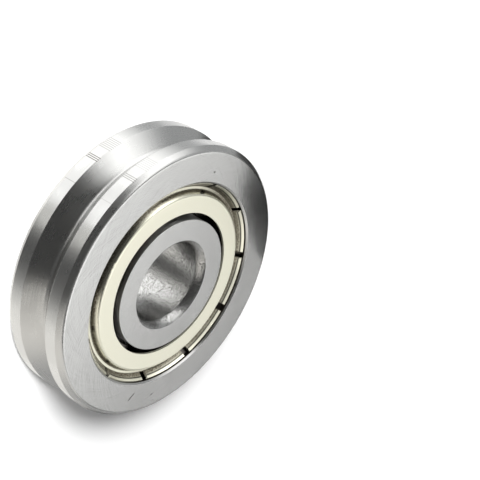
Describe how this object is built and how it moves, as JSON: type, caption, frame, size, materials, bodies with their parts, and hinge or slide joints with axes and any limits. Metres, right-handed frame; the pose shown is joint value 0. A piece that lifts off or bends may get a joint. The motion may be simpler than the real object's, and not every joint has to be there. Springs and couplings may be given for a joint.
{
  "type": "v groove wheel",
  "caption": "Shielded ball bearing wheel with a V groove round its thick outer ring, to run along the edge of a rail, on a bolt through its bore.",
  "frame": {"origin": "middle of the bore, half way between the two side faces", "axes": "+Z along the axis, out of the front face; X and Y in the wheel's middle plane, with the first ball on +X"},
  "size_m": [0.035, 0.035, 0.009],
  "materials": {
    "ring_steel": "hardened bearing steel, ground bright",
    "shield_plate": "pressed sheet steel, pale yellowish bright plating",
    "cage_steel": "pressed strip steel, tumbled",
    "rivet_steel": "cold headed steel wire",
    "ball_steel": "hardened bearing steel, lapped to a mirror"
  },
  "bodies": {
    "hub": {"inner_ring": "ring_steel"},
    "wheel": {"outer_ring": "ring_steel", "shield_front": "shield_plate", "shield_rear": "shield_plate"},
    "cage": {"cage_front": "cage_steel", "cage_rear": "cage_steel", "cage_rivets": "rivet_steel"},
    "rolling_ball_1": {"ball_1": "ball_steel"},
    "rolling_ball_2": {"ball_2": "ball_steel"},
    "rolling_ball_3": {"ball_3": "ball_steel"},
    "rolling_ball_4": {"ball_4": "ball_steel"},
    "rolling_ball_5": {"ball_5": "ball_steel"},
    "rolling_ball_6": {"ball_6": "ball_steel"},
    "rolling_ball_7": {"ball_7": "ball_steel"},
    "rolling_ball_8": {"ball_8": "ball_steel"}
  },
  "joints": [
    {"name": "wheel_spin", "type": "hinge", "parent": "hub", "child": "wheel", "pos_m": [0, 0, 0], "axis": [0, 0, 1], "continuous": true},
    {"name": "cage_orbit", "type": "hinge", "parent": "hub", "child": "cage", "pos_m": [0, 0, 0], "axis": [0, 0, 1], "continuous": true},
    {"name": "ball_1_spin", "type": "hinge", "parent": "cage", "child": "rolling_ball_1", "pos_m": [0.01, 0, 0], "axis": [0, 0, 1], "continuous": true},
    {"name": "ball_2_spin", "type": "hinge", "parent": "cage", "child": "rolling_ball_2", "pos_m": [0.00707, 0.00707, 0], "axis": [0, 0, 1], "continuous": true},
    {"name": "ball_3_spin", "type": "hinge", "parent": "cage", "child": "rolling_ball_3", "pos_m": [0, 0.01, 0], "axis": [0, 0, 1], "continuous": true},
    {"name": "ball_4_spin", "type": "hinge", "parent": "cage", "child": "rolling_ball_4", "pos_m": [-0.00707, 0.00707, 0], "axis": [0, 0, 1], "continuous": true},
    {"name": "ball_5_spin", "type": "hinge", "parent": "cage", "child": "rolling_ball_5", "pos_m": [-0.01, 0, 0], "axis": [0, 0, 1], "continuous": true},
    {"name": "ball_6_spin", "type": "hinge", "parent": "cage", "child": "rolling_ball_6", "pos_m": [-0.00707, -0.00707, 0], "axis": [0, 0, 1], "continuous": true},
    {"name": "ball_7_spin", "type": "hinge", "parent": "cage", "child": "rolling_ball_7", "pos_m": [0, -0.01, 0], "axis": [0, 0, 1], "continuous": true},
    {"name": "ball_8_spin", "type": "hinge", "parent": "cage", "child": "rolling_ball_8", "pos_m": [0.00707, -0.00707, 0], "axis": [0, 0, 1], "continuous": true}
  ],
  "couplings": [
    {"joint": "cage_orbit", "follows": "wheel_spin", "ratio": 0.61905},
    {"joint": "ball_1_spin", "follows": "wheel_spin", "ratio": 1.9809},
    {"joint": "ball_2_spin", "follows": "wheel_spin", "ratio": 1.9809},
    {"joint": "ball_3_spin", "follows": "wheel_spin", "ratio": 1.9809},
    {"joint": "ball_4_spin", "follows": "wheel_spin", "ratio": 1.9809},
    {"joint": "ball_5_spin", "follows": "wheel_spin", "ratio": 1.9809},
    {"joint": "ball_6_spin", "follows": "wheel_spin", "ratio": 1.9809},
    {"joint": "ball_7_spin", "follows": "wheel_spin", "ratio": 1.9809},
    {"joint": "ball_8_spin", "follows": "wheel_spin", "ratio": 1.9809}
  ]
}
